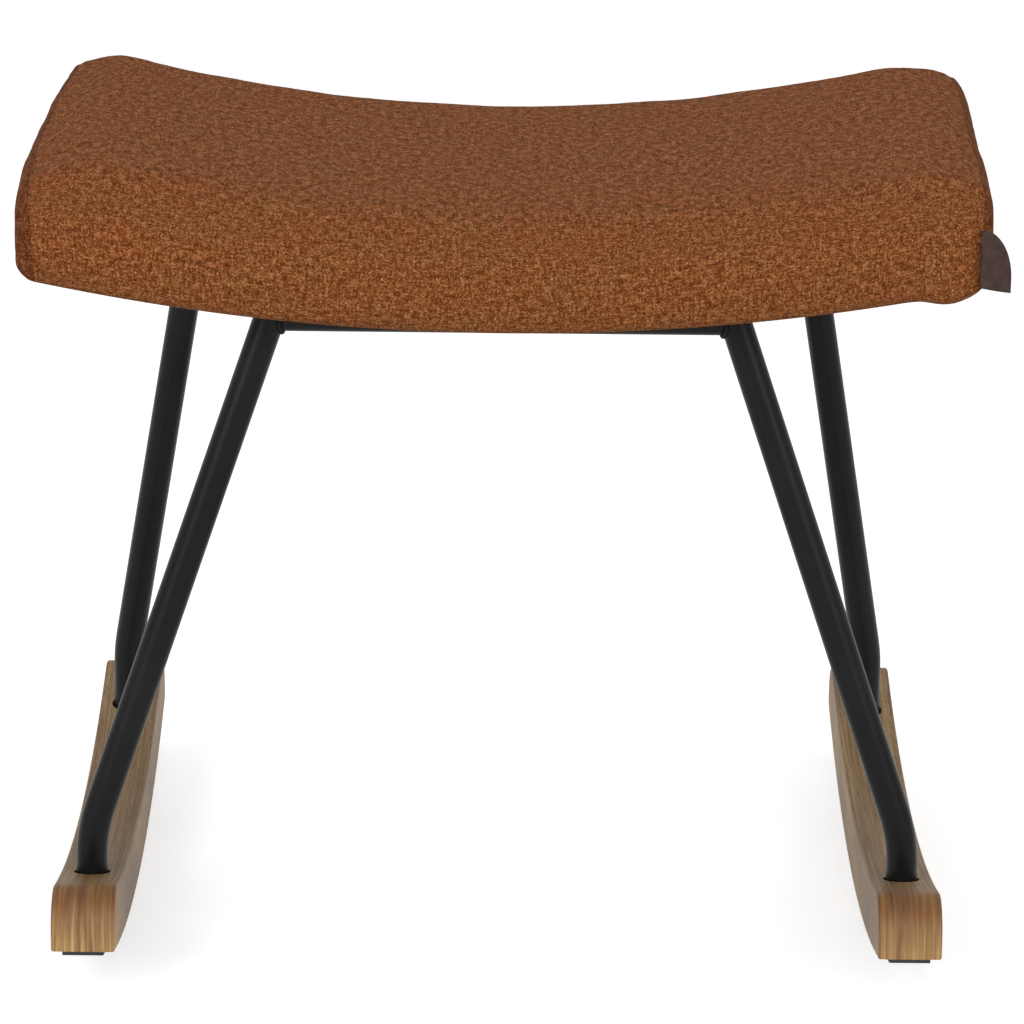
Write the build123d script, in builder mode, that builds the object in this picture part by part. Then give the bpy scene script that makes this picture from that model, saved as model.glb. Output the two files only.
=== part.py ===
from build123d import *
from math import asin, cos, degrees, radians, sin, sqrt
import os

os.makedirs("parts", exist_ok=True)

# Rocking footstool, in millimetres. X runs along the seat's long way, the front is
# towards -Y, Z is up. The origin is on the floor, midway between the two rockers.
# The stool stands on two curved rockers and rolls on them as one rigid piece.

# ---- Rockers: solid wood, each with a strip under its sole -------------------
rocker_spacing = 465.0       # centre line to centre line
rocker_width = 36.0
rocker_height = 36.0         # wood alone, measured square to the curve
rocker_length = 460.0        # tip to tip
rolling_radius = 940.0       # of the strip's underside, on the floor
nose_radius = 22.0           # upper corner of each tip
rocker_edge_round = 1.5
strip_width = 23.0
strip_thickness = 2.0

# ---- Legs: round steel tube, one bend each -----------------------------------
tube_d = 18.0
tube_wall = 1.5
foot_from_tip = 75.0         # middle of each socket, from the rocker's tip
front_top_x = 128.0
rear_top_x = 182.0
front_bend_z = 76.0
rear_bend_z = 88.0
leg_bend_radius = 90.0
crossbar_d = 14.0            # the tube that joins a pair of legs under the seat
crossbar_wall = 1.2

# ---- Joint of leg and rocker -------------------------------------------------
socket_d = 21.0
web = 8.0                    # wood left between the socket and the bolt's recess
recess_d = 14.0
head_to_strip = 3.9          # the bolt's head sits this far above the strip
foot_plug_length = 20.0
foot_bolt_length = 22.0

# ---- Screws, bolts and washers, all M6 ---------------------------------------
thread_d = 6.0
thread_gap = 0.05            # radial, between a thread and what it is driven into
bolt_head_d = 10.0
bolt_head_height = 6.0
bolt_edge_round = 0.8
hex_key = 5.0
hex_depth = 3.0
washer_d = 12.4
washer_thickness = 1.2
bore_gap = 0.3               # radial, round a bolt in a plain hole
screw_head_d = 11.0
screw_head_height = 3.3
screw_edge_round = 2.4       # a low, domed head
screw_length = 15.0          # under the head

# ---- Seat board: bent plywood ------------------------------------------------
board_end_margin = 15.0      # foam beyond the board, at the cushion's corners
board_side_margin = 18.0     # foam beyond the board, at the front and back
board_thickness = 12.0
board_corner = 22.0
board_underside_z = 378.5    # at its lowest, in the middle
sag_radius = 1242.0          # of the board's underside

# ---- Cushion -----------------------------------------------------------------
fabric = 1.5
fabric_gap = 0.4             # between the cover and what it covers
cushion_thickness = 56.5     # at the middle of the front and back edges
crown = 5.0                  # how far the top swells above its edges
dish_radius = 959.0          # of the top, along the seat
cushion_depth = 380.0        # at the corners
edge_draw = 3.0              # front and back drawn in at the middle
side_bulge = 2.5             # front and back faces swell between their edges
end_corner_x = 269.0         # the ends, at the cushion's corners
end_bulge = 5.0              # the ends swell this much more at their middle
roll_start_x = 225.0         # the top rolls down towards the ends from here
roll_width = 50.0
roll_drop = 20.0
top_corner = 28.0
bottom_corner = 12.0
end_corner = 11.0            # less than the corners that it runs round
seam_x = 262.0               # the end panels are sewn on here
hem = 36.0                   # cover turned under, from the cushion's edge

# ---- Under the seat ----------------------------------------------------------
dust_cover_thickness = 0.8
dust_cover_gap = 1.0         # to the hem's edge, all round
staple_crown = 10.0
staple_wire = 1.2
staple_leg = 7.0
staple_pitch = 42.0
staple_inset = 10.0          # from the hem's inner edge
plate_length = 62.0          # front to back
plate_width = 30.0
plate_thickness = 4.0
plate_corner = 6.0
screw_spacing = 42.0
plate_to_hem = 5.0           # from the plate's end to the turned-under cover
plate_gap = 0.1              # between the plate and the dust cover
tee_flange_d = 19.0
tee_flange = 1.6
tee_barrel_d = 7.8
tee_barrel = 9.0
tee_gap = 0.1

# ---- Label tab, folded and sewn into the front end seam ----------------------
tab_height = 32.0
tab_reach = 17.0
tab_thickness = 1.4
tab_middle_z = 425.5
tab_slant = 3.5
tab_straight = 11.0          # of its outer edge, below the curve
tab_tuck = 0.5               # its seam, behind the cushion's frontmost line

# ---- Sizes that follow -------------------------------------------------------
rocker_x = rocker_spacing / 2
sole_radius = rolling_radius - strip_thickness
saddle_radius = sole_radius - rocker_height
rocker_end_y = rocker_length / 2
foot_y = rocker_end_y - foot_from_tip
foot_sole_z = rolling_radius - sqrt(sole_radius**2 - foot_y**2)
recess_ceiling_z = foot_sole_z + head_to_strip + bolt_head_height + washer_thickness
socket_floor_z = recess_ceiling_z + web    # the tube's end stands on it
tube_r = tube_d / 2
board_length = 2 * (end_corner_x - board_end_margin)
board_depth = cushion_depth - 2 * board_side_margin
window_length = 2 * (end_corner_x - hem)
window_depth = cushion_depth - 2 * hem
leg_top_y = window_depth / 2 - plate_to_hem - plate_length / 2
sag_centre_z = board_underside_z + sag_radius
plate_top_radius = sag_radius + dust_cover_thickness + plate_gap
cover_bottom_z = board_underside_z - fabric_gap - fabric
cover_edge_z = cover_bottom_z + cushion_thickness
crossbar_r = crossbar_d / 2
crossbar_z = board_underside_z - dust_cover_thickness - plate_gap - crossbar_r
SIDES = (("left", -1), ("right", 1))
HOOPS = (("front", -1, front_top_x, front_bend_z), ("rear", 1, rear_top_x, rear_bend_z))


def finish(part, name):
    """Label a finished piece and write it to its own file."""
    part.label = name
    export_step(part, f"parts/{name}.step")


def arc_rise(radius, distance):
    """Height of a circular arc above its lowest point, this far from its middle."""
    return radius - sqrt(radius**2 - distance**2)


def under_board(x, y, depth=0.0):
    """A plane on the board's underside at x, y: its Z points up, square to the board.

    A positive depth is that far below the board.
    """
    lean = asin(x / sag_radius)
    reach = sag_radius + depth
    origin = (reach * sin(lean), y, sag_centre_z - reach * cos(lean))
    return Plane(origin=origin, x_dir=(cos(lean), 0, sin(lean)), z_dir=(-sin(lean), 0, cos(lean)))


# ---- Rockers -----------------------------------------------------------------
def curved_band(outer, inner):
    """Outline of the band between two arcs about the rolling centre, tip to tip."""
    end_y = rocker_end_y
    low_z = rolling_radius - outer
    low_tip_z = low_z + arc_rise(outer, end_y)
    high_z = rolling_radius - inner
    high_tip_z = high_z + arc_rise(inner, end_y)
    with BuildLine() as band:
        ThreePointArc((-end_y, low_tip_z), (0, low_z), (end_y, low_tip_z))
        Line((end_y, low_tip_z), (end_y, high_tip_z))
        ThreePointArc((end_y, high_tip_z), (0, high_z), (-end_y, high_tip_z))
        Line((-end_y, high_tip_z), (-end_y, low_tip_z))
    return band.line


for side, s in SIDES:
    with BuildPart() as rocker:
        with BuildSketch(Plane.YZ.offset(s * rocker_x)) as profile:
            add(curved_band(sole_radius, saddle_radius))
            make_face()
            fillet(profile.vertices().group_by(Axis.Y)[-1], nose_radius)
        extrude(amount=rocker_width / 2, both=True)
        side_faces = rocker.faces().filter_by(Axis.X)
        fillet(side_faces.edges(), rocker_edge_round)
        with Locations(*[(s * rocker_x, y, socket_floor_z) for y in (-foot_y, foot_y)]):
            Cylinder(socket_d / 2, 3 * rocker_height,
                     align=(Align.CENTER, Align.CENTER, Align.MIN), mode=Mode.SUBTRACT)
            Cylinder(thread_d / 2 + bore_gap, 2 * web, mode=Mode.SUBTRACT)
        with Locations(*[(s * rocker_x, y, recess_ceiling_z) for y in (-foot_y, foot_y)]):
            Cylinder(recess_d / 2, 2 * rocker_height,
                     align=(Align.CENTER, Align.CENTER, Align.MAX), mode=Mode.SUBTRACT)
    finish(rocker.part, f"rocker_{side}")

    with BuildPart() as tread_strip:
        with BuildSketch(Plane.YZ.offset(s * rocker_x)):
            add(curved_band(rolling_radius, sole_radius))
            make_face()
        extrude(amount=strip_width / 2, both=True)
    finish(tread_strip.part, f"tread_strip_{side}")


# ---- Legs, their plugs, plates and cross tubes -------------------------------
def tube_along(points, bend_radius, outer, inner=0.0):
    """A tube, or a rod without an inner radius, along straight runs and one bend."""
    with BuildPart() as tube:
        with BuildLine() as route:
            FilletPolyline(*points, radius=bend_radius)
        with BuildSketch(Plane(origin=points[0], z_dir=(0, 0, 1))):
            Circle(outer)
            if inner:
                Circle(inner, mode=Mode.SUBTRACT)
        sweep(path=route.line)
    return tube.part


plate_top_depth = dust_cover_thickness + plate_gap
for hoop, d, top_x, bend_z in HOOPS:
    rods = []
    for side, s in SIDES:
        plate_underside = under_board(s * top_x, d * leg_top_y, plate_top_depth + plate_thickness)
        foot = Vector(s * rocker_x, d * foot_y, socket_floor_z)
        bend = Vector(s * rocker_x, d * foot_y, bend_z)
        top = plate_underside.origin
        beyond_top = top + (top - bend).normalized() * tube_d
        route = (foot, bend, beyond_top)
        rods.append(tube_along(route, leg_bend_radius, tube_r))
        leg_tube = tube_along(route, leg_bend_radius, tube_r, tube_r - tube_wall)

        with BuildPart() as leg:
            add(leg_tube)
            split(bisect_by=plate_underside, keep=Keep.BOTTOM)
        finish(leg.part, f"{hoop}_leg_{side}")

        with BuildPart() as mount_plate:
            with BuildSketch(under_board(s * top_x, d * leg_top_y, plate_top_depth)):
                RectangleRounded(plate_width, plate_length, plate_corner)
                with GridLocations(0, screw_spacing, 1, 2):
                    Circle(thread_d / 2 + bore_gap, mode=Mode.SUBTRACT)
            extrude(amount=-plate_thickness)
        finish(mount_plate.part, f"{hoop}_plate_{side}")

    up_the_leg = (crossbar_z - bend_z) / (top.Z - bend_z)
    crossbar_y = d * (foot_y + (leg_top_y - foot_y) * up_the_leg)
    crossbar_x = rocker_x + (top_x - rocker_x) * up_the_leg
    with BuildPart() as crossbar:
        with BuildSketch(Plane.YZ):
            with Locations((crossbar_y, crossbar_z)):
                Circle(crossbar_r)
                Circle(crossbar_r - crossbar_wall, mode=Mode.SUBTRACT)
        extrude(amount=crossbar_x, both=True)
        add(rods, mode=Mode.SUBTRACT)
    finish(crossbar.part, f"{hoop}_crossbar")

feet = [(s * rocker_x, y, socket_floor_z) for side, s in SIDES for y in (-foot_y, foot_y)]
with BuildPart() as foot_plugs:
    with Locations(*feet):
        Cylinder(tube_r - tube_wall - thread_gap, foot_plug_length,
                 align=(Align.CENTER, Align.CENTER, Align.MIN))
        Cylinder(thread_d / 2 + thread_gap, 2 * foot_plug_length, mode=Mode.SUBTRACT)
finish(foot_plugs.part, "foot_plugs")


# ---- Bolts and screws: head under z = 0, shank up ----------------------------
def hex_bolt(head_radius, head_height, length, edge_round):
    """A headed screw with a hexagon socket, its head under its seat at z = 0."""
    with BuildPart() as bolt:
        Cylinder(head_radius, head_height, align=(Align.CENTER, Align.CENTER, Align.MAX))
        fillet(bolt.edges().sort_by(Axis.Z)[0], edge_round)
        with BuildSketch(Plane.XY.offset(-head_height)):
            RegularPolygon(hex_key / 2, 6, major_radius=False)
        extrude(amount=hex_depth, mode=Mode.SUBTRACT)
        Cylinder(thread_d / 2, length, align=(Align.CENTER, Align.CENTER, Align.MIN))
    return bolt.part


foot_bolt = hex_bolt(bolt_head_d / 2, bolt_head_height, foot_bolt_length, bolt_edge_round)
seat_screw = hex_bolt(screw_head_d / 2, screw_head_height, screw_length, screw_edge_round)

with BuildPart() as foot_washers:
    with Locations(*[(x, y, recess_ceiling_z) for x, y, z in feet]):
        Cylinder(washer_d / 2, washer_thickness, align=(Align.CENTER, Align.CENTER, Align.MAX))
        Cylinder(thread_d / 2 + bore_gap, 3 * washer_thickness, mode=Mode.SUBTRACT)
finish(foot_washers.part, "foot_washers")

with BuildPart() as foot_bolts:
    with Locations(*[(x, y, recess_ceiling_z - washer_thickness) for x, y, z in feet]):
        add(foot_bolt)
finish(foot_bolts.part, "foot_bolts")

# Screws go up through the plates into nuts let into the top of the board.
screw_places = [
    (s * top_x, d * leg_top_y + end * screw_spacing / 2)
    for hoop, d, top_x, bend_z in HOOPS
    for side, s in SIDES
    for end in (-1, 1)
]
screw_head_depth = plate_top_depth + plate_thickness
with BuildPart() as seat_screws:
    with Locations(*[under_board(x, y, screw_head_depth).location for x, y in screw_places]):
        add(seat_screw)
finish(seat_screws.part, "seat_screws")

tee_top = board_thickness - tee_gap
with BuildPart() as tee_nuts:
    with Locations(*[under_board(x, y, -tee_top).location for x, y in screw_places]):
        Cylinder(tee_flange_d / 2, tee_flange, align=(Align.CENTER, Align.CENTER, Align.MAX))
        Cylinder(tee_barrel_d / 2, tee_flange + tee_barrel,
                 align=(Align.CENTER, Align.CENTER, Align.MAX))
        Cylinder(thread_d / 2 + thread_gap, 4 * tee_barrel, mode=Mode.SUBTRACT)
finish(tee_nuts.part, "tee_nuts")


# ---- Seat board and dust cover -----------------------------------------------
def bent_sheet(low, high, length, depth, corner):
    """A sheet bent like the board, between two heights over the board's underside."""
    with BuildPart() as sheet:
        with BuildSketch():
            RectangleRounded(length, depth, corner)
        extrude(amount=sag_centre_z)
        with Locations(Location((0, 0, sag_centre_z), (90, 0, 0))):
            Cylinder(sag_radius - low, 2 * depth, mode=Mode.INTERSECT)
            Cylinder(sag_radius - high, 2 * depth, mode=Mode.SUBTRACT)
    return sheet.part


plain_board = bent_sheet(0, board_thickness, board_length, board_depth, board_corner)
with BuildPart() as seat_board:
    add(plain_board)
    with Locations(*[under_board(x, y).location for x, y in screw_places]):
        Cylinder(tee_barrel_d / 2 + tee_gap, 4 * board_thickness, mode=Mode.SUBTRACT)
    pocket_floor = tee_top - tee_flange - tee_gap
    with Locations(*[under_board(x, y, -pocket_floor).location for x, y in screw_places]):
        Cylinder(tee_flange_d / 2 + tee_gap, board_thickness,
                 align=(Align.CENTER, Align.CENTER, Align.MIN), mode=Mode.SUBTRACT)
finish(seat_board.part, "seat_board")

plain_dust_cover = bent_sheet(
    -dust_cover_thickness, 0, window_length - 2 * dust_cover_gap,
    window_depth - 2 * dust_cover_gap, board_corner,
)
with BuildPart() as dust_cover:
    add(plain_dust_cover)
    with Locations(*[under_board(x, y).location for x, y in screw_places]):
        Cylinder(thread_d / 2 + bore_gap, 4 * board_thickness, mode=Mode.SUBTRACT)
finish(dust_cover.part, "dust_cover")


# ---- Cushion form ------------------------------------------------------------
def cushion_section(x, inset):
    """Closed outline across the cushion at x: flat sole, swelling sides, crowned top."""
    roll = max(0.0, (abs(x) - roll_start_x) / roll_width)
    sole_z = cover_bottom_z + arc_rise(sag_radius, x) + inset
    edge_z = cover_edge_z + arc_rise(dish_radius, x) - roll_drop * roll**2 - inset
    middle_z = (sole_z + edge_z) / 2
    drawn_in = edge_draw * (1 - (x / end_corner_x) ** 2)
    face_y = cushion_depth / 2 - max(drawn_in, 0.0) - inset
    edge_y = face_y - side_bulge
    with BuildSketch(Plane.YZ.offset(x)) as section:
        with BuildLine():
            Line((-edge_y, sole_z), (edge_y, sole_z))
            ThreePointArc((edge_y, sole_z), (face_y, middle_z), (edge_y, edge_z))
            ThreePointArc((edge_y, edge_z), (0, edge_z + crown), (-edge_y, edge_z))
            ThreePointArc((-edge_y, edge_z), (-face_y, middle_z), (-edge_y, sole_z))
        make_face()
        corners = section.vertices().group_by(Axis.Y)
        fillet(corners[-1], top_corner - inset)
        fillet(section.vertices().group_by(Axis.Y)[0], bottom_corner - inset)
    return section.sketch


def cushion_form(inset):
    """The whole cushion, this far inside its outer face."""
    beyond_end = end_corner_x + 2 * end_bulge
    near_end = roll_start_x + roll_width / 2
    middle_steps = [roll_start_x * i / 3 for i in range(-3, 4)]
    steps = (-beyond_end, -near_end, *middle_steps, near_end, beyond_end)
    sections = [cushion_section(x, inset) for x in steps]
    corner_x = end_corner_x - inset
    middle_x = corner_x + end_bulge
    half_depth = cushion_depth / 2
    with BuildPart() as form:
        add(sections)
        loft()
        with BuildSketch():
            with BuildLine():
                Line((-corner_x, -half_depth), (corner_x, -half_depth))
                ThreePointArc((corner_x, -half_depth), (middle_x, 0), (corner_x, half_depth))
                Line((corner_x, half_depth), (-corner_x, half_depth))
                ThreePointArc((-corner_x, half_depth), (-middle_x, 0), (-corner_x, -half_depth))
            make_face()
        extrude(amount=sag_centre_z, mode=Mode.INTERSECT)
        end_faces = form.faces().sort_by(Axis.X)
        end_edges = end_faces[0].edges() + end_faces[-1].edges()
        fillet(end_edges, end_corner - inset)
    return form.part


cushion_outside = cushion_form(0)
cover_inside = cushion_form(fabric)
foam_outside = cushion_form(fabric + fabric_gap)

# The foam has a recess for the board, open below.
board_recess = bent_sheet(
    -sag_radius / 10, board_thickness + fabric_gap, board_length + 2 * fabric_gap,
    board_depth + 2 * fabric_gap, board_corner + fabric_gap,
)
with BuildPart() as seat_foam:
    add(foam_outside)
    add(board_recess, mode=Mode.SUBTRACT)
finish(seat_foam.part, "seat_foam")


# ---- Cover: one panel over the top, front and back, and one at each end ------
hem_window = bent_sheet(-2 * hem, board_thickness, window_length, window_depth, board_corner)
with BuildPart() as cover:
    add(cushion_outside)
    add(cover_inside, mode=Mode.SUBTRACT)
    add(hem_window, mode=Mode.SUBTRACT)

# The end panels' own turned-under flaps lie between the long ones.
flap_depth = window_depth - 2 * board_corner
flap_sheet = bent_sheet(-2 * hem, fabric_gap / 2, 3 * board_length, flap_depth, board_corner)
end_reach = 2 * board_length
end_zones = {}
for side, s in SIDES:
    with BuildPart() as end_zone:
        add(flap_sheet)
        with Locations((s * (window_length / 2 - board_corner), 0, 0)):
            Box(end_reach, end_reach, 2 * sag_centre_z,
                align=(Align.MIN if s > 0 else Align.MAX, Align.CENTER, Align.CENTER),
                mode=Mode.INTERSECT)
        with Locations((s * seam_x, 0, 0)):
            Box(end_reach, end_reach, 2 * sag_centre_z,
                align=(Align.MIN if s > 0 else Align.MAX, Align.CENTER, Align.CENTER))
    end_zones[side] = end_zone.part
    with BuildPart() as cover_end:
        add(cover.part)
        add(end_zone.part, mode=Mode.INTERSECT)
    finish(cover_end.part, f"cover_end_{side}")

with BuildPart() as cover_main:
    add(cover.part)
    add(list(end_zones.values()), mode=Mode.SUBTRACT)
finish(cover_main.part, "cover_main")


# ---- Staples through the hem into the board ----------------------------------
with BuildPart() as staple:
    Box(staple_crown, staple_wire, staple_wire, align=(Align.CENTER, Align.CENTER, Align.MAX))
    with GridLocations(staple_crown - staple_wire, 0, 2, 1):
        Box(staple_wire, staple_wire, staple_leg, align=(Align.CENTER, Align.CENTER, Align.MIN))


def spread(reach, pitch):
    """Places from -reach to reach, evenly spaced, at most one pitch apart."""
    spaces = int(2 * reach / pitch) + 1
    return [-reach + 2 * reach * i / spaces for i in range(spaces + 1)]


staple_depth = fabric_gap + fabric
row_y = window_depth / 2 + staple_inset
row_x = window_length / 2 + staple_inset
long_row = spread(window_length / 2 - board_corner, staple_pitch)
short_row = spread(flap_depth / 2 - staple_crown, staple_pitch)
along = [under_board(x, d * row_y, staple_depth) for d in (-1, 1) for x in long_row]
across = [under_board(s * row_x, y, staple_depth).rotated((0, 0, 90))
          for side, s in SIDES for y in short_row]
with BuildPart() as staples:
    with Locations(*[plane.location for plane in along + across]):
        add(staple.part)
finish(staples.part, "staples")


# ---- Label tab ---------------------------------------------------------------
tab_top_z = tab_middle_z + tab_height / 2
tab_low_z = tab_middle_z - tab_height / 2
tab_outer_x = seam_x + tab_reach
tab_tip_z = tab_low_z - tab_slant
tab_curve_z = tab_tip_z + tab_straight
with BuildPart() as label_tab:
    with BuildSketch(Plane.XZ.offset(cushion_depth / 2 - tab_tuck)):
        with BuildLine():
            Line((seam_x, tab_low_z), (tab_outer_x, tab_tip_z))
            Line((tab_outer_x, tab_tip_z), (tab_outer_x, tab_curve_z))
            EllipticalCenterArc((seam_x, tab_curve_z), tab_reach, tab_top_z - tab_curve_z)
            Line((seam_x, tab_top_z), (seam_x, tab_low_z))
        make_face()
    extrude(amount=tab_thickness)
finish(label_tab.part, "label_tab")
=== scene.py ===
# Rocking footstool: a dished, upholstered seat on four bent steel legs and two oak rockers.
from math import cos, exp, pi, sin, sqrt

import bmesh
import bpy
from mathutils import Euler, Matrix, Vector, noise


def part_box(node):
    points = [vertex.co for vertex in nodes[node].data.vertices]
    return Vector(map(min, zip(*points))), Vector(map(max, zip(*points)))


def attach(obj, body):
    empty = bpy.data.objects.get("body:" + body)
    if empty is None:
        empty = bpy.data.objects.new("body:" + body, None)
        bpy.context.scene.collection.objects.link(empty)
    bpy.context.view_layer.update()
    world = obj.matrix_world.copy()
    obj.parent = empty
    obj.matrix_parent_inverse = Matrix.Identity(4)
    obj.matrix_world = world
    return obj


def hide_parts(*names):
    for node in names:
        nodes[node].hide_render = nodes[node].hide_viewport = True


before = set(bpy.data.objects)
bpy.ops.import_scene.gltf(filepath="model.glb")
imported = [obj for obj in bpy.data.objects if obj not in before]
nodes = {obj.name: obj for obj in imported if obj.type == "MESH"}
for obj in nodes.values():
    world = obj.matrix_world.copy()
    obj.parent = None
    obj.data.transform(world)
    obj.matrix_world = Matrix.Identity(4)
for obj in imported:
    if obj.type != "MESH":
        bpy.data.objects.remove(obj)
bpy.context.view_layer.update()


# ---- Camera ------------------------------------------------------------------
# A long lens almost three metres in front of the stool, a little above the seat and looking
# down on it.
camera_place = (-0.0092, -2.9694, 1.0786)
look_down = 0.2802           # in radians, as the next two
look_right = 0.0055
camera_roll = 0.0114
sensor_width = 36.0
lens = 182.8

bpy.ops.object.camera_add(location=camera_place)
camera = bpy.context.object
aim = Euler((pi / 2 - look_down, 0, -look_right)).to_matrix() @ Matrix.Rotation(camera_roll, 3, "Z")
camera.rotation_euler = aim.to_euler()
camera.data.sensor_width = sensor_width
camera.data.lens = lens
bpy.context.scene.camera = camera
bpy.context.scene.view_settings.view_transform = "Standard"


# ---- Studio ------------------------------------------------------------------
# A plain white floor and surround, lit evenly, with two large soft lamps in front and a weak
# one above. The floor keeps the stool's shadow.
floor_size = 40.0
floor_colour = (0.80, 0.80, 0.80, 1)
floor_lift = 0.60            # brightens the floor where it is looked at
surround_colour = (1, 1, 1, 1)
surround_light = 0.42
lamp_aim = Vector((0, 0, 0.30))


def feed(tree, socket, value):
    """Give a socket a number, a colour or another node's socket."""
    if isinstance(value, bpy.types.NodeSocket):
        tree.links.new(value, socket)
    else:
        socket.default_value = value


def wire(tree, kind, links=None, **settings):
    """Add a shader node and feed its inputs."""
    made = tree.nodes.new("ShaderNode" + kind)
    for name, value in settings.items():
        setattr(made, name, value)
    for name, value in (links or {}).items():
        feed(tree, made.inputs[name], value)
    return made


def sum_of(tree, operation, first, second=0.0, third=0.0):
    """A Math node's result."""
    return wire(tree, "Math", {0: first, 1: second, 2: third}, operation=operation).outputs[0]


def seen_directly(tree):
    """One where the background is looked at, in a mirror or through glass too."""
    path = wire(tree, "LightPath").outputs
    mirrored = sum_of(tree, "MAXIMUM", path["Is Glossy Ray"], path["Is Transmission Ray"])
    return sum_of(tree, "MAXIMUM", path["Is Camera Ray"], mirrored)


bpy.ops.mesh.primitive_plane_add(size=floor_size)
floor = bpy.context.object
floor.name = "studio_floor"
floor_finish = bpy.data.materials.new("studio_floor")
floor_finish.use_nodes = True
tree = floor_finish.node_tree
tree.nodes.remove(tree.nodes["Principled BSDF"])
matt = wire(tree, "BsdfDiffuse", {"Color": floor_colour})
lift = sum_of(tree, "MULTIPLY", seen_directly(tree), floor_lift)
glow = wire(tree, "Emission", {"Strength": lift})
both = wire(tree, "AddShader", {0: matt.outputs[0], 1: glow.outputs[0]})
tree.links.new(both.outputs[0], tree.nodes["Material Output"].inputs["Surface"])
floor.data.materials.append(floor_finish)

world = bpy.data.worlds.new("studio")
world.use_nodes = True
bpy.context.scene.world = world
tree = world.node_tree
tree.nodes.clear()
dim = wire(tree, "Background", {"Color": surround_colour, "Strength": surround_light})
white = wire(tree, "Background", {"Color": surround_colour, "Strength": 1.0})
either = wire(tree, "MixShader", {0: seen_directly(tree), 1: dim.outputs[0], 2: white.outputs[0]})
wire(tree, "OutputWorld", {"Surface": either.outputs[0]})


def softbox(name, place, size, power):
    """A square lamp that faces the stool."""
    bpy.ops.object.light_add(type="AREA", location=place)
    lamp = bpy.context.object
    lamp.name = name
    lamp.rotation_euler = (lamp_aim - Vector(place)).to_track_quat("-Z", "Y").to_euler()
    lamp.data.size = size
    lamp.data.energy = power


softbox("lamp_left", place=(-1.7, -2.3, 1.5), size=1.4, power=44)
softbox("lamp_right", place=(1.8, -2.2, 1.3), size=1.4, power=30)
softbox("lamp_above", place=(0.1, 0.2, 2.4), size=1.2, power=9)


# ---- Rockers -----------------------------------------------------------------
# Each rocker is sawn from one oak plank with its growth layers standing upright, so that they
# show as streaks along the top and down the tips. Clear matt lacquer, pores left open.
oak_dark = (0.120, 0.060, 0.022, 1)
oak_middle = (0.215, 0.126, 0.050, 1)
oak_pale = (0.350, 0.225, 0.098, 1)
oak_pore = (0.060, 0.030, 0.012, 1)
nose_tint = (0.68, 0.46, 0.29, 1)
nose_sole_tint = (1.52, 1.50, 1.46, 1)
nose_from_y = 0.185          # the tips' own colour fades in from here
nose_full_y = 0.222
nose_brown_z = 0.074         # browned above, paler below
nose_pale_z = 0.048
nose_ragged = 0.030          # how uneven the line between them is


def finish_for(name):
    """A new finish and its nodes."""
    finish = bpy.data.materials.new(name)
    finish.use_nodes = True
    return finish, finish.node_tree


def coat(tree, colour, roughness, specular=0.5, metallic=0.0):
    """Give a finish its colour and how it shines."""
    sockets = tree.nodes["Principled BSDF"].inputs
    feed(tree, sockets["Base Color"], colour)
    feed(tree, sockets["Roughness"], roughness)
    feed(tree, sockets["Specular IOR Level"], specular)
    feed(tree, sockets["Metallic"], metallic)


def emboss(tree, height, strength, depth):
    """Raise a finish where height is large."""
    bump = wire(tree, "Bump", {"Height": height, "Strength": strength, "Distance": depth})
    feed(tree, tree.nodes["Principled BSDF"].inputs["Normal"], bump.outputs[0])


def object_place(tree):
    """The place on the piece, in metres."""
    return wire(tree, "TexCoord").outputs["Object"]


def stretched_noise(tree, place, scale, detail=3.0, roughness=0.55, distortion=0.0):
    """Noise on a place scaled by a different number each way, in blobs per metre."""
    moved = wire(tree, "Mapping", {"Vector": place, "Scale": scale}).outputs[0]
    links = {"Vector": moved, "Scale": 1.0, "Detail": detail, "Roughness": roughness,
             "Distortion": distortion}
    return wire(tree, "TexNoise", links).outputs[0]


def rising(tree, value, low, high, start=0.0, end=1.0):
    """From start to end while value goes from low to high."""
    links = {0: value, 1: low, 2: high, 3: start, 4: end}
    return wire(tree, "MapRange", links).outputs[0]


def weighed(tree, *parts):
    """The sum of some values, each times its weight."""
    total = 0.0
    for value, weight in parts:
        total = sum_of(tree, "MULTIPLY_ADD", value, weight, total)
    return total


def ramp(tree, value, *stops):
    """A colour ramp, from places and colours."""
    made = wire(tree, "ValToRGB", {0: value})
    elements = made.color_ramp.elements
    while len(elements) < len(stops):
        elements.new(0.5)
    for element, (at, colour) in zip(elements, stops):
        element.position = at
        element.color = colour
    return made.outputs[0]


def blend_colours(tree, share, first, second, kind="MIX", name="blend"):
    """Two colours mixed by a share."""
    mixed = wire(tree, "Mix", {0: share, 6: first, 7: second}, data_type="RGBA",
                 blend_type=kind, name=name)
    return mixed.outputs[2]


def give(finish, *names):
    """Put a finish on carried-over pieces in place of what they came with."""
    for name in names:
        nodes[name].data.materials.clear()
        nodes[name].data.materials.append(finish)


oak, tree = finish_for("oak")
place = object_place(tree)
narrow = stretched_noise(tree, place, (520, 6, 16), detail=4.0, roughness=0.65, distortion=0.7)
bands = stretched_noise(tree, place, (150, 3, 9), detail=3.0, roughness=0.6, distortion=0.5)
layers = weighed(tree, (narrow, 0.6), (bands, 0.4))
colour = ramp(tree, layers, (0.38, oak_dark), (0.5, oak_middle), (0.62, oak_pale))
axes = wire(tree, "SeparateXYZ", {0: place}).outputs
on_nose = rising(tree, sum_of(tree, "ABSOLUTE", axes["Y"]), nose_from_y, nose_full_y)

# Pores, which the lacquer has filled at the tips.
pores = stretched_noise(tree, place, (1200, 70, 900), detail=2.0, roughness=0.5)
open_pore = rising(tree, pores, 0.56, 0.68)
open_pore = sum_of(tree, "MULTIPLY", open_pore, sum_of(tree, "SUBTRACT", 1.0, on_nose))
colour = blend_colours(tree, sum_of(tree, "MULTIPLY", open_pore, 0.6), colour, oak_pore)

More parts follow.
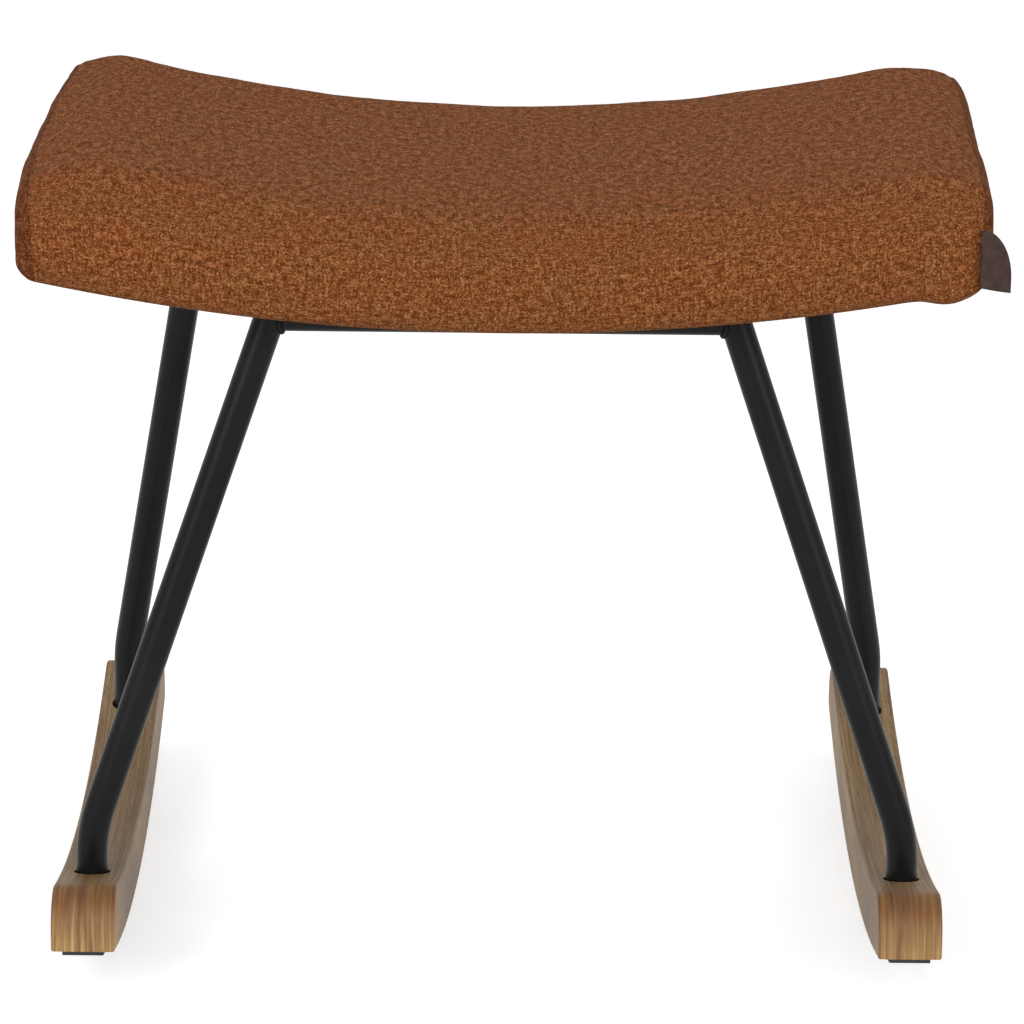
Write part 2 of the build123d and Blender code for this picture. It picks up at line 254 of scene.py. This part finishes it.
# At the tips the colour turns darker and browner above and paler below, with a ragged line between.
ragged = weighed(tree, (axes["Z"], 1.0), (bands, nose_ragged))
to_sole = rising(tree, ragged, nose_brown_z, nose_pale_z)
tint = blend_colours(tree, to_sole, nose_tint, nose_sole_tint)
tinted = blend_colours(tree, 1.0, colour, tint, "MULTIPLY")
colour = blend_colours(tree, on_nose, colour, tinted)
coat(tree, colour, rising(tree, layers, 0.0, 1.0, 0.46, 0.62), specular=0.35)
emboss(tree, weighed(tree, (layers, 1.0), (open_pore, -0.6)), strength=0.45, depth=0.0003)
give(oak, "rocker_left", "rocker_right")


# ---- Tread strips ------------------------------------------------------------
# A thin strip of dark rubber is glued along the underside of each rocker, so that it rolls
# quietly and doesn't slip.
rubber_clean = (0.012, 0.011, 0.011, 1)
rubber_dusty = (0.040, 0.036, 0.033, 1)
rubber_grain = 900.0         # grains per metre

rubber, tree = finish_for("tread_rubber")
place = object_place(tree)
dust = stretched_noise(tree, place, (300, 60, 300), detail=4.0, roughness=0.7)
colour = ramp(tree, dust, (0.35, rubber_clean), (0.75, rubber_dusty))
grip = wire(tree, "TexVoronoi", {"Vector": place, "Scale": rubber_grain}).outputs[0]
coat(tree, colour, 0.85)
emboss(tree, grip, strength=0.6, depth=0.0003)
give(rubber, "tread_strip_left", "tread_strip_right")


# ---- Legs, cross tubes and plates --------------------------------------------
# Bent steel tube, a flat plate welded on each upper end and a tube between each pair, all
# powder-coated satin black, with the coating's fine orange peel.
coat_colour = (0.0060, 0.0058, 0.0058, 1)
coat_worn = (0.0120, 0.0117, 0.0117, 1)
LEGS = [f"{hoop}_leg_{side}" for hoop in ("front", "rear") for side in ("left", "right")]
PLATES = [name.replace("leg", "plate") for name in LEGS]

powder, tree = finish_for("black_powder_coat")
place = object_place(tree)
handling = stretched_noise(tree, place, (14, 14, 9), detail=4.0, roughness=0.6)
colour = ramp(tree, handling, (0.35, coat_colour), (0.8, coat_worn))
peel = stretched_noise(tree, place, (1100, 1100, 1100), detail=2.0, roughness=0.5)
coat(tree, colour, rising(tree, handling, 0.0, 1.0, 0.30, 0.42), specular=0.11)
emboss(tree, peel, strength=0.25, depth=0.0002)
give(powder, *LEGS, *PLATES, "front_crossbar", "rear_crossbar")


# ---- Weld beads --------------------------------------------------------------
# One bead all round where each leg meets its plate, and where each cross tube meets its two
# legs. They are coated with the rest, and their ripples still show.
bead_radius = 0.0019
bead_steps = 130
bead_sides = 8
bead_ripples = 32
ripple_height = 0.14         # of the bead's radius
leg_radius = 0.009
crossbar_radius = 0.007
crossbar_z = 0.3706
foot_x = 0.2325
foot_y = 0.155
leg_top_y = 0.118
board_sag_radius = 1.242     # of the bent board's underside, to which the plates are bolted
board_sag_centre = 1.6205
plate_sole_depth = 0.0049    # from the board's underside to the plate's
HOOPS = ((-1, 0.128, 0.076), (1, 0.182, 0.088))  # front, rear: the legs' top X, their bend's Z


def weld_bead(line, middle):
    """A rippled bead along a closed line of points round its middle."""
    bpy.ops.object.select_all(action="DESELECT")
    bpy.ops.mesh.primitive_torus_add(major_segments=bead_steps, minor_segments=bead_sides)
    bead = bpy.context.object
    for vertex in bead.data.vertices:
        step, side = divmod(vertex.index, bead_sides)
        here = line[step]
        along = (line[(step + 1) % bead_steps] - line[step - 1]).normalized()
        outward = (here - middle).normalized()
        across = along.cross(outward).normalized()
        outward = across.cross(along)
        ripple = 1 + ripple_height * sin(2 * pi * bead_ripples * step / bead_steps)
        turn = 2 * pi * side / bead_sides
        vertex.co = here + bead_radius * ripple * (cos(turn) * outward + sin(turn) * across)
    return bead


beads = []
turns = [2 * pi * step / bead_steps for step in range(bead_steps)]
for back, top_x, bend_z in HOOPS:
    for side in (-1, 1):
        lean_sine = side * top_x / board_sag_radius
        lean_cosine = sqrt(1 - lean_sine * lean_sine)
        normal = Vector((-lean_sine, 0, lean_cosine))
        top = Vector((0, back * leg_top_y, board_sag_centre))
        top -= (board_sag_radius + plate_sole_depth) * normal
        bend = Vector((side * foot_x, back * foot_y, bend_z))
        axis = (top - bend).normalized()

        # Where the leg runs into its plate.
        first = axis.cross(Vector((0, 1, 0))).normalized()
        second = axis.cross(first)
        ring = [leg_radius * (cos(turn) * first + sin(turn) * second) for turn in turns]
        line = [top + r - axis * (r.dot(normal) / axis.dot(normal)) for r in ring]
        beads.append(weld_bead(line, top))

        # Where the cross tube runs into the leg.
        middle = bend.lerp(top, (crossbar_z - bend_z) / (top.z - bend_z))
        line = []
        for turn in turns:
            beside = Vector((0, crossbar_radius * cos(turn), crossbar_radius * sin(turn)))
            k = beside.dot(axis)
            a = 1 - axis.x * axis.x
            c = crossbar_radius ** 2 - k * k - leg_radius ** 2
            root = sqrt(axis.x ** 2 * k * k - a * c)
            line.append(middle + beside + Vector(((axis.x * k - side * root) / a, 0, 0)))
        beads.append(weld_bead(line, middle))

bpy.ops.object.select_all(action="DESELECT")
for bead in beads:
    bead.select_set(True)
bpy.context.view_layer.objects.active = beads[0]
bpy.ops.object.join()
bpy.ops.object.mode_set(mode="EDIT")
bpy.ops.mesh.select_all(action="SELECT")
bpy.ops.mesh.normals_make_consistent(inside=False)
bpy.ops.object.mode_set(mode="OBJECT")
welds = bpy.context.object
welds.name = "weld_beads"
welds.data.shade_smooth()
welds.data.materials.clear()
welds.data.materials.append(powder)
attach(welds, "root")


# ---- Screws, bolts and staples -----------------------------------------------
# Steel hardware. A bolt and washer hold each leg's plug from below the rocker, two screws and
# their nuts hold each plate to the board, and wire staples hold the turned-under cover. It is
# zinc plated and slightly clouded, but the seat screws are blackened.
zinc_dull = (0.40, 0.40, 0.38, 1)
zinc_bright = (0.66, 0.65, 0.61, 1)
black_deep = (0.020, 0.020, 0.021, 1)
black_thin = (0.060, 0.058, 0.055, 1)

zinc, tree = finish_for("zinc_plate")
place = object_place(tree)
cloud = stretched_noise(tree, place, (220, 220, 220), detail=4.0, roughness=0.65)
colour = ramp(tree, cloud, (0.3, zinc_dull), (0.7, zinc_bright))
coat(tree, colour, rising(tree, cloud, 0.0, 1.0, 0.26, 0.46), metallic=1.0)
give(zinc, "foot_plugs", "foot_bolts", "foot_washers", "tee_nuts", "staples")

black_zinc, tree = finish_for("blackened_zinc")
place = object_place(tree)
cloud = stretched_noise(tree, place, (260, 260, 260), detail=3.0, roughness=0.6)
colour = ramp(tree, cloud, (0.3, black_deep), (0.8, black_thin))
coat(tree, colour, 0.38, metallic=0.7)
give(black_zinc, "seat_screws")


# ---- Seat board --------------------------------------------------------------
# Thin birch veneers glued up in a curved press, left raw because the cushion hides them. The
# leg plates are screwed to its underside.
birch_dark = (0.42, 0.27, 0.14, 1)
birch_pale = (0.66, 0.50, 0.31, 1)
veneers_per_metre = 750.0

birch, tree = finish_for("bent_plywood")
place = object_place(tree)
height = wire(tree, "SeparateXYZ", {0: place}).outputs["Z"]
veneer = sum_of(tree, "PINGPONG", sum_of(tree, "MULTIPLY", height, veneers_per_metre), 1.0)
grain = stretched_noise(tree, place, (6, 160, 160), detail=4.0, roughness=0.6)
shade = weighed(tree, (grain, 1.0), (veneer, 0.25))
coat(tree, ramp(tree, shade, (0.35, birch_dark), (0.9, birch_pale)), 0.7)
give(birch, "seat_board")


# ---- Cushion cover -----------------------------------------------------------
# Foam on the bent board, under a coarse rust-coloured melange cloth. One panel runs over the
# front, top and back; a panel is sewn on at each end. All are turned under and stapled.
half_length = 0.269          # at the corners
half_depth = 0.190
side_height = 0.0565
sole_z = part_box("cover_main")[0].z
end_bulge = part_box("cover_end_right")[1].x - half_length
end_bulge_power = 7          # the higher, the nearer to the end it starts
crown = 0.005
top_radius = 0.959           # the dish, along the seat
sole_radius = 1.242
roll_start = 0.225
roll_width = 0.050
left_roll_drop = 0.0215
right_roll_drop = 0.0120
drawn_in = 0.003
side_swell = 0.0025
front_top_corner = 0.036     # worn rounder than the back one
rear_top_corner = 0.028
bottom_corner = 0.012
end_corner = 0.011
fuller = 0.0030              # in the middle, where it's stuffed more
top_tilt = 0.0020            # higher towards the left end
seam_at_sole = 0.262
seam_at_top = 0.267
seam_lean = (seam_at_top - seam_at_sole) / side_height
left_seam_in = 0.004
hem = 0.036
flap_half_depth = 0.132      # of the end panels, where they are turned under

# It is sewn by hand, so the ends aren't quite alike: the left one is drawn in and the right
# one's rear corner sticks out. The folds under the front right corner are thick. Their starts
# and runs are shares of the half depth, from the middle.
left_end_in = 0.0036
left_end_start = -0.7
left_end_run = 0.9
right_corner_out = 0.0100
right_corner_start = -0.2
right_corner_run = 1.1
uneven_power = 9
fold_drop = 0.0055
fold_x = 0.2480
fold_reach = 0.022
fold_start = -0.55
fold_run = 0.35


def dish(radius, x):
    """Height of an arc above its lowest point."""
    return radius - sqrt(radius * radius - x * x)


def eased(share):
    """From 0 to 1 without a sudden start or end."""
    share = max(0.0, min(1.0, share))
    return share * share * (3 - 2 * share)


def rounded(p):
    """A point of the plain box moved to the rounded box: its long corners, then its end edges."""
    top_corner = front_top_corner if p.y < 0 else rear_top_corner
    share = (p.z - bottom_corner) / (side_height - top_corner - bottom_corner)
    radius = bottom_corner + (top_corner - bottom_corner) * max(0.0, min(1.0, share))
    core_y = max(radius - half_depth, min(half_depth - radius, p.y))
    core_z = max(bottom_corner, min(side_height - top_corner, p.z))
    out = Vector((p.y - core_y, p.z - core_z))
    inside = radius - max(abs(out.x), abs(out.y))
    to_end = half_length - abs(p.x)
    on_end = to_end < 1e-6
    turn = 0.25 * pi * max(0.0, 1 - to_end / end_corner)
    if on_end:
        turn = 0.25 * pi * (1 + min(1.0, inside / end_corner))
    inset = end_corner * (1 - cos(turn))
    if on_end and inside > end_corner:
        inset = inside
    x = abs(p.x)
    if turn > 0:
        x = half_length - end_corner * (1 - sin(turn))
    if out.length > 0:
        out.normalize()
    reach = radius - inset
    return Vector((x if p.x > 0 else -x, core_y + out.x * reach, core_z + out.y * reach))


def cushion_point(p):
    """Where a point of the plain box lies on the cushion: rounded, then bent like the board."""
    q = rounded(p)
    u = q.x / half_length
    v = q.y / half_depth
    w = q.z / side_height
    x = q.x + end_bulge * (1 - v * v) * u * abs(u) ** end_bulge_power
    if u < 0:
        roll_drop = left_roll_drop
        uneven = left_end_in * eased((v - left_end_start) / left_end_run)
    else:
        roll_drop = right_roll_drop
        uneven = right_corner_out * eased((v - right_corner_start) / right_corner_run)
    x += uneven * abs(u) ** uneven_power
    y = q.y - v * (drawn_in * (1 - u * u) + side_swell * (2 * w - 1) ** 2)
    low = sole_z + dish(sole_radius, x)
    in_fold = eased(1 - abs(x - fold_x) / fold_reach)
    low -= fold_drop * in_fold * eased((fold_start - v) / fold_run)
    roll = max(0.0, (abs(x) - roll_start) / roll_width)
    high = sole_z + side_height + dish(top_radius, x) - roll_drop * roll * roll
    high += crown * (1 - v * v) + fuller * (1 - u * u) - top_tilt * u
    return Vector((x, y, low + w * (high - low)))


def seam_start(x):
    """How far out the seam on this side is at the sole."""
    return seam_at_sole - (left_seam_in if x < 0 else 0)


def beyond_seam(p):
    """How far a point of the plain box lies beyond the nearer end seam."""
    return abs(p.x) - seam_start(p.x) - seam_lean * p.z


# A plain box with close rows of vertices: even ones, some beside the seams, and the hem's.
cuts_each_way = (81, 57, 9)
rows_beside_seam = (-0.0040, -0.0014, 0, 0.0014, 0.0040)

bpy.ops.object.select_all(action="DESELECT")
bpy.ops.mesh.primitive_cube_add(size=1, location=(0, 0, side_height / 2),
                                scale=(2 * half_length, 2 * half_depth, side_height))
bpy.ops.object.transform_apply(location=True, rotation=True, scale=True)
cover = bpy.context.object
cover.name = "cover_cloth"
bpy.ops.object.mode_set(mode="EDIT")
bpy.ops.mesh.select_mode(type="EDGE")
for axis, cuts in enumerate(cuts_each_way):
    bpy.ops.mesh.select_all(action="DESELECT")
    work = bmesh.from_edit_mesh(cover.data)
    for edge in work.edges:
        run = edge.verts[1].co - edge.verts[0].co
        edge.select_set(abs(run[axis]) > 0.9 * run.length)
    bmesh.update_edit_mesh(cover.data)
    bpy.ops.mesh.subdivide(number_cuts=cuts)
for side in (-1, 1):
    for beside in rows_beside_seam:
        bpy.ops.mesh.select_all(action="SELECT")
        bpy.ops.mesh.bisect(plane_co=(side * (seam_start(side) + beside), 0, 0),
                            plane_no=(side, 0, -seam_lean))
    for normal, reach in (((1, 0, 0), half_length - hem), ((0, 1, 0), half_depth - hem)):
        bpy.ops.mesh.select_all(action="SELECT")
        bpy.ops.mesh.bisect(plane_co=side * reach * Vector(normal), plane_no=normal)
bpy.ops.object.mode_set(mode="OBJECT")

# Which panel each face belongs to, and the cloth's own flat map, in metres.
MAIN, LEFT, RIGHT, OPEN = range(4)
cloth_finish, tree = finish_for("rust_melange_cloth")
for panel in (MAIN, LEFT, RIGHT, OPEN):
    cover.data.materials.append(cloth_finish)
cloth_map = cover.data.uv_layers[0] if cover.data.uv_layers else cover.data.uv_layers.new()
box_points = [v.co.copy() for v in cover.data.vertices]
facing = [(face.center.copy(), face.normal.copy()) for face in cover.data.polygons]
for face, (c, n) in zip(cover.data.polygons, facing):
    under = n.z < -0.5
    end = RIGHT if c.x > 0 else LEFT
    in_end_flap = abs(c.x) > half_length - hem and abs(c.y) < flap_half_depth
    in_window = abs(c.x) < half_length - hem and abs(c.y) < half_depth - hem
    face.material_index = MAIN
    if beyond_seam(c) > 0 or (under and in_end_flap):
        face.material_index = end
    elif under and in_window:
        face.material_index = OPEN
    for corner in face.loop_indices:
        p = box_points[cover.data.loops[corner].vertex_index]
        side = -1 if c.y < 0 else 1
        if face.material_index in (LEFT, RIGHT):
            past = half_length - abs(p.x)
            flat = (p.y, p.z)
            if abs(n.z) > 0.5:
                flat = (p.y, side_height + past if n.z > 0 else -past)
            elif abs(n.y) > 0.5:
                flat = (side * (half_depth + past), p.z)
        else:
            flat = (p.x, p.y)
            if abs(n.y) > 0.5:
                flat = (p.x, side * (half_depth + side_height - p.z))
            elif under:
                flat = (p.x, side * (2 * half_depth + side_height - abs(p.y)))
        cloth_map.data[corner].uv = flat

# The box gets the cushion's shape. The cloth starts a little inside it, and is held by its
# seams and its flat sole.
shrink = 0.0004              # how far inside it starts
shrink_height = 0.024        # above the sole, where that is reached
seam_sink = 0.0014
beside_seam = 0.002          # the rows this near sink a little with the seam
beside_seam_share = 0.3

held_group = cover.vertex_groups.new(name="held")
for vertex, p in zip(cover.data.vertices, box_points):
    vertex.co = cushion_point(p)
cover.data.update()
outward = [v.normal.copy() for v in cover.data.vertices]
start = []
for vertex, p, n in zip(cover.data.vertices, box_points, outward):
    past = abs(beyond_seam(p))
    sink = shrink * eased(p.z / shrink_height)
    if p.z < 1e-5:
        held_group.add([vertex.index], 1.0, "REPLACE")
    elif past < 1e-5:
        sink += seam_sink
        held_group.add([vertex.index], 1.0, "REPLACE")
    elif past < beside_seam:
        sink += beside_seam_share * seam_sink
    vertex.co -= n * sink
    start.append(vertex.co.copy())

# Then it is blown up to its size. A soft limit holds it the more, the further it would go.
inner_pressure = 4.0
blowing_steps = 20
swell_limit = 0.004

cloth = cover.modifiers.new("blown", "CLOTH")
cloth.settings.effector_weights.gravity = 0.0
cloth.settings.use_pressure = True
cloth.settings.uniform_pressure_force = inner_pressure
cloth.settings.vertex_group_mass = held_group.name
cloth.settings.quality = 4
for step in range(1, blowing_steps + 1):
    bpy.context.scene.frame_set(step)
blown = cover.evaluated_get(bpy.context.evaluated_depsgraph_get())
places = [v.co.copy() for v in blown.data.vertices]
cover.modifiers.remove(cloth)
bpy.context.scene.frame_set(1)
for vertex, before, after in zip(cover.data.vertices, start, places):
    move = after - before
    vertex.co = before + move * swell_limit / (swell_limit + move.length)

bpy.ops.object.select_all(action="DESELECT")
cover.select_set(True)
bpy.context.view_layer.objects.active = cover
finer = cover.modifiers.new("finer", "SUBSURF")
finer.levels = finer.render_levels = 1
bpy.ops.object.modifier_apply(modifier=finer.name)

# The stuffing shows as faint unevenness, and the cloth puckers beside its seams. Each has a
# height in metres and a number of waves per metre.
lump_height = 0.0008
lump_waves = 26
cockle_height = 0.00020
cockle_waves = 150
pucker_height = 0.0007
pucker_waves = 120
pucker_reach = 0.006
even_height = 0.004          # above the sole, where it is stapled flat

cover.data.update()
outward = [v.normal.copy() for v in cover.data.vertices]
for vertex, n in zip(cover.data.vertices, outward):
    p = vertex.co
    past = abs(abs(p.x) - seam_at_sole)
    lump = lump_height * noise.noise(p * lump_waves)
    lump += cockle_height * noise.noise(p * cockle_waves)
    along_seam = Vector((0, p.y, p.z))
    pucker = pucker_height * exp(-past / pucker_reach) * noise.noise(along_seam * pucker_waves)
    if p.z > sole_z + dish(sole_radius, p.x) + even_height:
        vertex.co += n * (lump + pucker)

# A plain weave of thick, uneven yarns, each spun from dark and pale fibres.
weave_pitch = 0.00115
yarn_wander = 0.0016
yarn_dip = 0.45              # of a yarn's height, where it dips under another
slub_height = 2.4
yarn_dark = (0.088, 0.023, 0.004, 1)
yarn_rust = (0.198, 0.062, 0.017, 1)
yarn_pale = (0.375, 0.155, 0.062, 1)
# the colour of the painted highlights on the threads, as pale flecks
painted_highlight_fleck = (0.560, 0.300, 0.170, 1)
reddish = (1.03, 0.95, 0.93, 1)
greenish = (0.98, 1.03, 1.00, 1)
# Painted shade: the end panels' colour is multiplied darker, as if their sideways faces were in
# shadow. The main panel's colour is left as it is.
main_painted_shade = (1, 1, 1, 1)
end_painted_shade = (0.70, 0.62, 0.60, 1)
worn_from = 0.185            # the top is worn nearer to its middle than this, front to back
worn_full = 0.150
worn_clouds = 1.1


def scaled(tree, vector, scale):
    """A vector times a number."""
    return wire(tree, "VectorMath", {0: vector, "Scale": scale}, operation="SCALE").outputs[0]


def yarn(across, along):
    """Height of one set of threads, which dip under the other set in turn."""
    in_thread = sum_of(tree, "FRACT", across)
    arch = sum_of(tree, "SINE", sum_of(tree, "MULTIPLY", in_thread, pi))
    turn = sum_of(tree, "ADD", along, sum_of(tree, "FLOOR", across))
    dip = sum_of(tree, "COSINE", sum_of(tree, "MULTIPLY", turn, pi))
    return sum_of(tree, "MULTIPLY_ADD", dip, yarn_dip, arch)


flat = wire(tree, "TexCoord").outputs["UV"]
wobble = wire(tree, "TexNoise", {"Vector": flat, "Scale": 420.0, "Detail": 2.0}).outputs[1]
wander = wire(tree, "VectorMath", {0: wobble, 1: (0.5, 0.5, 0.5)}, operation="SUBTRACT").outputs[0]
shift = scaled(tree, wander, yarn_wander)
moved = wire(tree, "VectorMath", {0: flat, 1: shift}, operation="ADD").outputs[0]
axes = wire(tree, "SeparateXYZ", {0: scaled(tree, moved, 1 / weave_pitch)}).outputs
warp = yarn(axes["X"], axes["Y"])
weft = yarn(axes["Y"], sum_of(tree, "ADD", axes["X"], 1.0))
slubs = stretched_noise(tree, flat, (850, 850, 1), detail=3.0, roughness=0.7)
height = sum_of(tree, "MULTIPLY_ADD", slubs, slub_height, sum_of(tree, "MAXIMUM", warp, weft))

# Nubs, blotches where fibres of one colour bunch up, and short dark and pale runs of yarn. On
# the seat's top, where it has rubbed, the blotches run together into clouds.
nubs = stretched_noise(tree, flat, (880, 880, 1), detail=2.0, roughness=0.6)
blotches = stretched_noise(tree, flat, (240, 340, 1), detail=2.0, roughness=0.6)
weft_runs = stretched_noise(tree, flat, (130, 680, 1), detail=3.0, roughness=0.65)
warp_runs = stretched_noise(tree, flat, (560, 170, 1), detail=3.0, roughness=0.65)
clouds = stretched_noise(tree, flat, (230, 120, 1), detail=4.0, roughness=0.65)
clouds = sum_of(tree, "SUBTRACT", clouds, 0.5)
from_middle = sum_of(tree, "ABSOLUTE", wire(tree, "SeparateXYZ", {0: flat}).outputs["Y"])
worn = rising(tree, from_middle, worn_from, worn_full, 0.0, worn_clouds)
shade = weighed(tree, (blotches, 0.7), (nubs, 1.35), (warp_runs, 0.9), (weft_runs, 0.6),
                (clouds, worn))
shade = rising(tree, shade, 1.46, 2.12)
colour = ramp(tree, shade, (0.10, yarn_dark), (0.5, yarn_rust), (0.90, yarn_pale))

# Pale flecks, which are painted highlights on the threads, and a slow change of cast over the
# cloth.
painted_highlights = stretched_noise(tree, flat, (620, 620, 1), detail=1.0, roughness=0.5)
painted_highlights = sum_of(tree, "MULTIPLY", rising(tree, painted_highlights, 0.66, 0.74), 0.7)
colour = blend_colours(tree, painted_highlights, colour, painted_highlight_fleck)
cast = stretched_noise(tree, flat, (26, 34, 1))
cast = ramp(tree, cast, (0.35, reddish), (0.65, greenish))
colour = blend_colours(tree, 1.0, colour, cast, "MULTIPLY")
# This multiply carries the end panels' painted shade.
colour = blend_colours(tree, 1.0, colour, main_painted_shade, "MULTIPLY", name="panel_painted_shade")
coat(tree, colour, 0.95, specular=0.06)
emboss(tree, height, strength=0.7, depth=0.0004)
fuzz = tree.nodes["Principled BSDF"].inputs
fuzz["Sheen Weight"].default_value = 0.03
fuzz["Sheen Roughness"].default_value = 0.5
fuzz["Sheen Tint"].default_value = (0.85, 0.62, 0.48, 1)

# The end panels are cut the other way of the cloth. Their colour is darkened with painted shade, as
# if their sideways faces were in shadow.
end_cloth_painted_shade = cloth_finish.copy()
end_cloth_painted_shade.name = "rust_melange_cloth_ends_painted_shade"
end_cloth_painted_shade.node_tree.nodes["panel_painted_shade"].inputs[7].default_value = end_painted_shade

# The cover comes apart into its panels. The window in its underside is left open.
bpy.ops.object.mode_set(mode="EDIT")
bpy.ops.mesh.select_all(action="SELECT")
bpy.ops.mesh.separate(type="MATERIAL")
bpy.ops.object.mode_set(mode="OBJECT")
panels = {}
for panel in list(bpy.context.selected_objects):
    xs = [v.co.x for v in panel.data.vertices]
    zs = [v.co.z for v in panel.data.vertices]
    if min(xs) > 0:
        panels[RIGHT] = panel
    elif max(xs) < 0:
        panels[LEFT] = panel
    elif max(zs) > sole_z + side_height:
        panels[MAIN] = panel
    else:
        bpy.data.objects.remove(panel)

# Each panel's rim is turned in: down into the seam, or up between the board and the hem.
panel_names = {MAIN: "seat_cover_main", LEFT: "seat_cover_left", RIGHT: "seat_cover_right"}
stands_for = {
    MAIN: ("cover_main", "seat_foam"),
    LEFT: ("cover_end_left",),
    RIGHT: ("cover_end_right",),
}
seam_turned_in = 0.0030
hem_turned_in = 0.0018
hem_height = 0.001           # the rim is the hem's below this, and a seam's above
core_height = 0.028          # of the cushion's middle, above its sole

for index, panel in panels.items():
    panel.name = panel_names[index]
    for face in panel.data.polygons:
        face.material_index = 0
    panel.data.materials.clear()
    panel.data.materials.append(cloth_finish if index == MAIN else end_cloth_painted_shade)
    bpy.ops.object.select_all(action="DESELECT")
    panel.select_set(True)
    bpy.context.view_layer.objects.active = panel
    bpy.ops.object.mode_set(mode="EDIT")
    bpy.ops.mesh.select_mode(type="EDGE")
    bpy.ops.mesh.select_all(action="DESELECT")
    bpy.ops.mesh.select_non_manifold()
    bpy.ops.mesh.extrude_edges_move()
    work = bmesh.from_edit_mesh(panel.data)
    for vertex in work.verts:
        if vertex.select:
            sole_here = sole_z + dish(sole_radius, vertex.co.x)
            core = Vector((vertex.co.x, 0, sole_here + core_height))
            if vertex.co.z < sole_here + hem_height:
                vertex.co.z += hem_turned_in
            else:
                vertex.co += (core - vertex.co).normalized() * seam_turned_in
    bmesh.update_edit_mesh(panel.data)
    bpy.ops.object.mode_set(mode="OBJECT")
    panel.data.shade_smooth()
    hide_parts(*stands_for[index])
    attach(panel, "root")


# ---- Dust cover --------------------------------------------------------------
# Thin black non-woven cloth over the board's underside, held between the board and the plates.
# It keeps dust and loose threads in.
dust_low, dust_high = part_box("dust_cover")
dust_length = dust_high.x - dust_low.x
dust_depth = dust_high.y - dust_low.y
dust_thickness = 0.0006
dust_gap = 0.0004            # from the board's underside to the cloth's middle
dust_sag = 0.00036           # more in the middle
dust_wave_height = 0.0003
dust_waves = 22              # per metre
board_sole_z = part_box("seat_board")[0].z
cloth_black = (0.012, 0.012, 0.013, 1)
cloth_grey = (0.045, 0.045, 0.047, 1)

bpy.ops.object.select_all(action="DESELECT")
bpy.ops.mesh.primitive_grid_add(x_subdivisions=92, y_subdivisions=60, size=1)
dust_cloth = bpy.context.object
dust_cloth.name = "dust_cloth"
for vertex in dust_cloth.data.vertices:
    x = vertex.co.x * dust_length
    y = vertex.co.y * dust_depth
    sag = dust_sag * max(0.0, cos(pi * x / dust_length) * cos(pi * y / dust_depth))
    wave = dust_wave_height * noise.noise(Vector((x, y, 0)) * dust_waves)
    z = board_sole_z + dish(sole_radius, x) - dust_gap - sag + wave
    vertex.co = Vector((x, y, z))
solid = dust_cloth.modifiers.new("cloth", "SOLIDIFY")
solid.thickness = dust_thickness
solid.offset = 0.0
bpy.ops.object.modifier_apply(modifier=solid.name)
dust_cloth.data.shade_smooth()

non_woven, tree = finish_for("black_non_woven")
place = object_place(tree)
dots = wire(tree, "TexVoronoi", {"Vector": place, "Scale": 700.0}).outputs[0]
fibres = stretched_noise(tree, place, (900, 500, 900), detail=5.0, roughness=0.75)
shade = weighed(tree, (fibres, 1.0), (dots, 0.4))
coat(tree, ramp(tree, shade, (0.4, cloth_black), (0.95, cloth_grey)), 0.8)
emboss(tree, shade, strength=0.6, depth=0.0003)
dust_cloth.data.materials.append(non_woven)
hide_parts("dust_cover")
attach(dust_cloth, "root")


# ---- Label tab ---------------------------------------------------------------
# A short strip of dark brown leather cloth, folded double and sewn into the front right end
# seam. It is bare.
tab_low, tab_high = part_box("label_tab")
tab_slant = 0.0035
tab_straight = 0.011         # of its outer edge, below the curve
tab_layer = 0.0005
tab_reach = tab_high.x - tab_low.x
tab_y = (tab_low.y + tab_high.y) / 2
tab_apart = 0.0005           # of each layer from the tab's middle, at the seam
tab_bow = 0.0035             # the fold stands this far back
curve_z = tab_low.z + tab_straight
leather_dark = (0.036, 0.020, 0.017, 1)
leather_brown = (0.072, 0.043, 0.036, 1)

bpy.ops.object.select_all(action="DESELECT")
bpy.ops.mesh.primitive_grid_add(x_subdivisions=40, y_subdivisions=30, size=1)
tab = bpy.context.object
tab.name = "side_tab"
for vertex in tab.data.vertices:
    out = 1 - abs(2 * vertex.co.x) ** 1.6        # 0 at the seam, 1 at the fold
    rear = 1 if vertex.co.x > 0 else -1
    up = vertex.co.y + 0.5
    z = tab_low.z + tab_slant + up * (tab_high.z - tab_low.z - tab_slant)
    over = max(0.0, (z - curve_z) / (tab_high.z - curve_z))
    x = tab_low.x + out * tab_reach * sqrt(max(1 - over * over, 0.01))
    y = tab_y + rear * tab_apart * (1 - out ** 6) + tab_bow * out * out
    vertex.co = Vector((x, y, z - tab_slant * out * (1 - up)))
solid = tab.modifiers.new("leather", "SOLIDIFY")
solid.thickness = tab_layer
solid.offset = 0.0
bpy.ops.object.modifier_apply(modifier=solid.name)
tab.data.shade_smooth()

leather, tree = finish_for("dark_brown_leather_cloth")
place = object_place(tree)
grain = wire(tree, "TexVoronoi", {"Vector": place, "Scale": 1500.0}, feature="DISTANCE_TO_EDGE")
cast = stretched_noise(tree, place, (180, 180, 180), detail=4.0, roughness=0.6)
coat(tree, ramp(tree, cast, (0.3, leather_dark), (0.8, leather_brown)), 0.7, specular=0.15)
emboss(tree, grain.outputs[0], strength=0.5, depth=0.0002)
tab.data.materials.append(leather)
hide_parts("label_tab")
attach(tab, "root")
